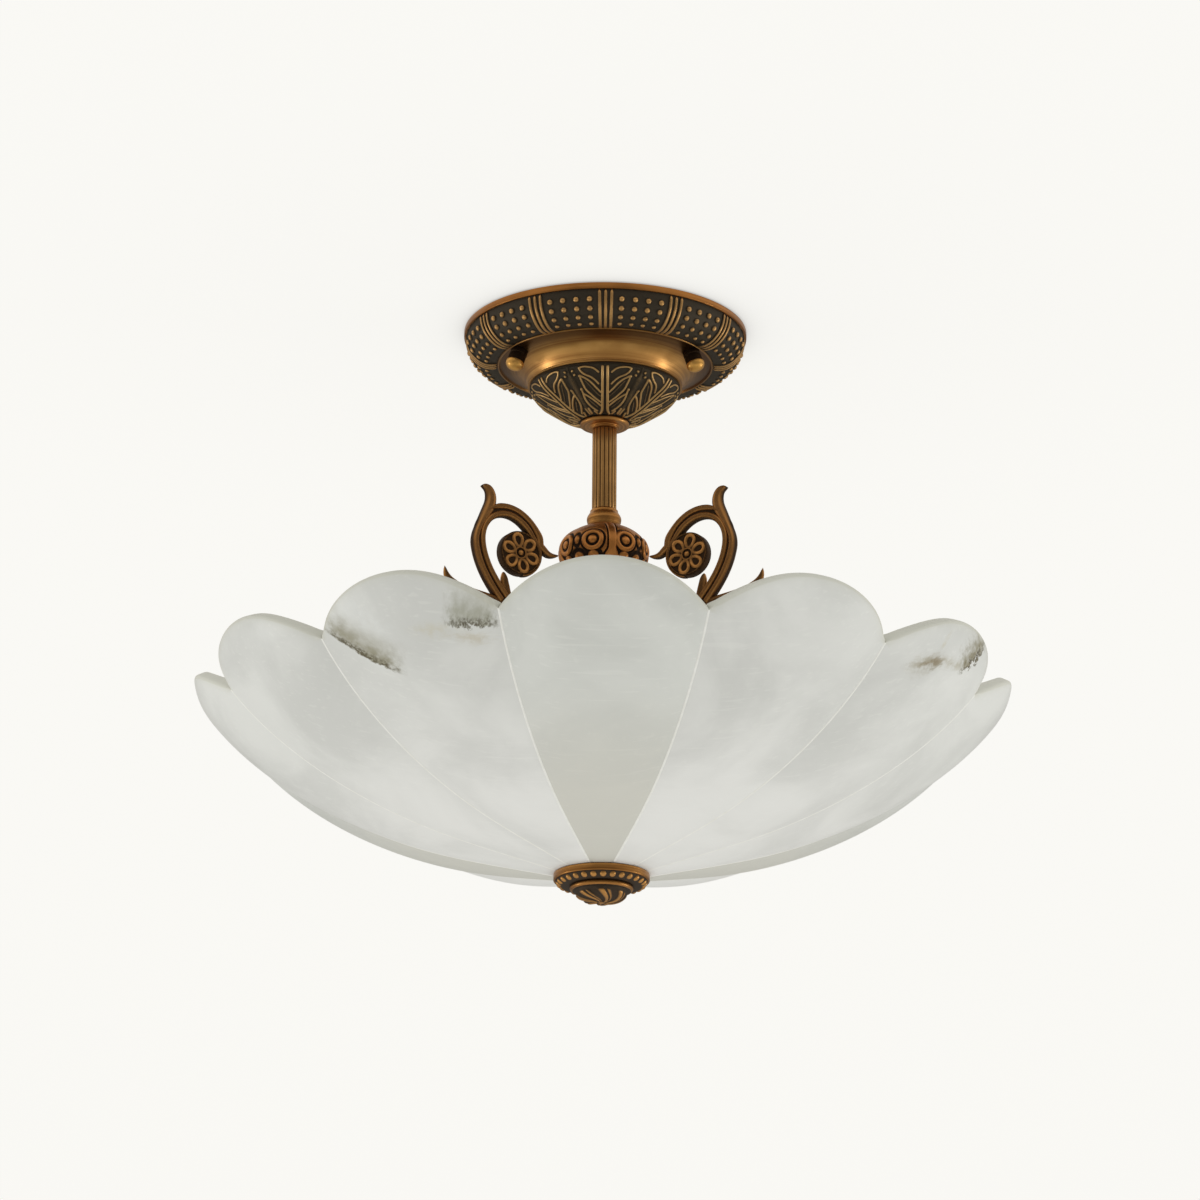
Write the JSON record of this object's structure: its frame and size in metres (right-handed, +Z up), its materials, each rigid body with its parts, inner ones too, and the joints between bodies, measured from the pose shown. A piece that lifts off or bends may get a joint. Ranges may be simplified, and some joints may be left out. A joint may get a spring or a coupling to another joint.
{
  "type": "semi-flush ceiling light",
  "caption": "Ceiling light with an antique brass canopy, fluted stem and scroll arms above a bowl of alabaster petals held by a screwed finial.",
  "frame": {"origin": "on the light's axis, at the ceiling, in the top face of the ceiling plate", "axes": "+Z points up into the ceiling, the front faces -Y, +X is to the right as seen from the front"},
  "size_m": [0.4996, 0.4996, 0.368],
  "materials": {
    "antique_brass": "antique finish, dark in the hollows",
    "zinc_steel": "zinc plated",
    "alabaster": "honed stone, slightly translucent",
    "cement": "matt",
    "black_rubber": "matt",
    "white_ceramic": "glazed",
    "plain_brass": "plain",
    "opal_glass": "opal",
    "bulb_metal": "rolled",
    "black_insulator": "glossy",
    "brown_wire": "smooth",
    "blue_wire": "smooth",
    "green_wire": "smooth"
  },
  "bodies": {
    "base": {"arm_1": "antique_brass", "arm_2": "antique_brass", "arm_3": "antique_brass", "arm_screws": "zinc_steel", "canopy": "antique_brass", "ceiling_plate": "zinc_steel", "centre_rod": "zinc_steel", "cluster_body": "antique_brass", "cluster_cap": "antique_brass", "cup_collar": "antique_brass", "earth_screws": "plain_brass", "hub_ball": "antique_brass", "lampholder_1": "white_ceramic", "lampholder_2": "white_ceramic", "lampholder_3": "white_ceramic", "leaf_cup": "antique_brass", "lock_nut": "zinc_steel", "socket_shells": "plain_brass", "stem": "antique_brass", "stem_collar": "antique_brass", "stop_nut": "zinc_steel", "stop_plate": "zinc_steel", "terminal_block": "white_ceramic", "threaded_tube": "zinc_steel", "tube_washer": "zinc_steel", "wire_earth": "green_wire", "wire_live": "brown_wire", "wire_neutral": "blue_wire"},
    "bowl": {"petal_01": "alabaster", "petal_02": "alabaster", "petal_03": "alabaster", "petal_04": "alabaster", "petal_05": "alabaster", "petal_06": "alabaster", "petal_07": "alabaster", "petal_08": "alabaster", "petal_09": "alabaster", "petal_10": "alabaster", "petal_11": "alabaster", "petal_12": "alabaster", "seam_cement": "cement", "gasket_upper": "black_rubber", "gasket_lower": "black_rubber", "finial_cup": "antique_brass"},
    "finial": {"finial_knob": "antique_brass"},
    "canopy_washer_1": {"canopy_washer_1": "antique_brass"},
    "canopy_screw_1": {"canopy_screw_1": "antique_brass"},
    "canopy_washer_2": {"canopy_washer_2": "antique_brass"},
    "canopy_screw_2": {"canopy_screw_2": "antique_brass"},
    "canopy_washer_3": {"canopy_washer_3": "antique_brass"},
    "canopy_screw_3": {"canopy_screw_3": "antique_brass"},
    "bulb_tip_1": {"bulb_tip_1": "black_insulator"},
    "bulb_1": {"bulb_cap_1": "bulb_metal", "bulb_glass_1": "opal_glass"},
    "bulb_tip_2": {"bulb_tip_2": "black_insulator"},
    "bulb_2": {"bulb_cap_2": "bulb_metal", "bulb_glass_2": "opal_glass"},
    "bulb_tip_3": {"bulb_tip_3": "black_insulator"},
    "bulb_3": {"bulb_cap_3": "bulb_metal", "bulb_glass_3": "opal_glass"}
  },
  "joints": [
    {"name": "bowl_lower", "type": "slide", "parent": "base", "child": "bowl", "axis": [0, 0, -1], "range_m": [0, 0.0045]},
    {"name": "finial_turn", "type": "hinge", "parent": "bowl", "child": "finial", "pos_m": [0, 0, -0.36], "axis": [0, 0, -1], "range_deg": [0, 1296]},
    {"name": "canopy_screw_1_out", "type": "slide", "parent": "base", "child": "canopy_washer_1", "axis": [0.2962, -0.171, -0.9397], "range_m": [0, 0.0042]},
    {"name": "canopy_screw_1_turn", "type": "hinge", "parent": "canopy_washer_1", "child": "canopy_screw_1", "pos_m": [0.053, -0.0306, -0.02315], "axis": [0.2962, -0.171, -0.9397], "range_deg": [0, 2160]},
    {"name": "canopy_screw_2_out", "type": "slide", "parent": "base", "child": "canopy_washer_2", "axis": [-0.2962, -0.171, -0.9397], "range_m": [0, 0.0042]},
    {"name": "canopy_screw_2_turn", "type": "hinge", "parent": "canopy_washer_2", "child": "canopy_screw_2", "pos_m": [-0.053, -0.0306, -0.02315], "axis": [-0.2962, -0.171, -0.9397], "range_deg": [0, 2160]},
    {"name": "canopy_screw_3_out", "type": "slide", "parent": "base", "child": "canopy_washer_3", "axis": [0, 0.342, -0.9397], "range_m": [0, 0.0042]},
    {"name": "canopy_screw_3_turn", "type": "hinge", "parent": "canopy_washer_3", "child": "canopy_screw_3", "pos_m": [0, 0.0612, -0.02315], "axis": [0, 0.342, -0.9397], "range_deg": [0, 2160]},
    {"name": "bulb_1_out", "type": "slide", "parent": "base", "child": "bulb_tip_1", "axis": [0, -1, 0], "range_m": [0, 0.01128]},
    {"name": "bulb_1_turn", "type": "hinge", "parent": "bulb_tip_1", "child": "bulb_1", "pos_m": [0, -0.022, -0.203], "axis": [0, -1, 0], "range_deg": [0, 1440]},
    {"name": "bulb_2_out", "type": "slide", "parent": "base", "child": "bulb_tip_2", "axis": [0.866, 0.5, 0], "range_m": [0, 0.01128]},
    {"name": "bulb_2_turn", "type": "hinge", "parent": "bulb_tip_2", "child": "bulb_2", "pos_m": [0.01905, 0.011, -0.203], "axis": [0.866, 0.5, 0], "range_deg": [0, 1440]},
    {"name": "bulb_3_out", "type": "slide", "parent": "base", "child": "bulb_tip_3", "axis": [-0.866, 0.5, 0], "range_m": [0, 0.01128]},
    {"name": "bulb_3_turn", "type": "hinge", "parent": "bulb_tip_3", "child": "bulb_3", "pos_m": [-0.01905, 0.011, -0.203], "axis": [-0.866, 0.5, 0], "range_deg": [0, 1440]}
  ],
  "couplings": [
    {"joint": "finial_turn", "follows": "bowl_lower", "rad_per_m": 5026.5},
    {"joint": "canopy_screw_1_out", "follows": "canopy_screw_1_turn", "m_per_rad": 0.00011141},
    {"joint": "canopy_screw_2_out", "follows": "canopy_screw_2_turn", "m_per_rad": 0.00011141},
    {"joint": "canopy_screw_3_out", "follows": "canopy_screw_3_turn", "m_per_rad": 0.00011141},
    {"joint": "bulb_1_out", "follows": "bulb_1_turn", "m_per_rad": 0.00044882},
    {"joint": "bulb_2_out", "follows": "bulb_2_turn", "m_per_rad": 0.00044882},
    {"joint": "bulb_3_out", "follows": "bulb_3_turn", "m_per_rad": 0.00044882}
  ]
}
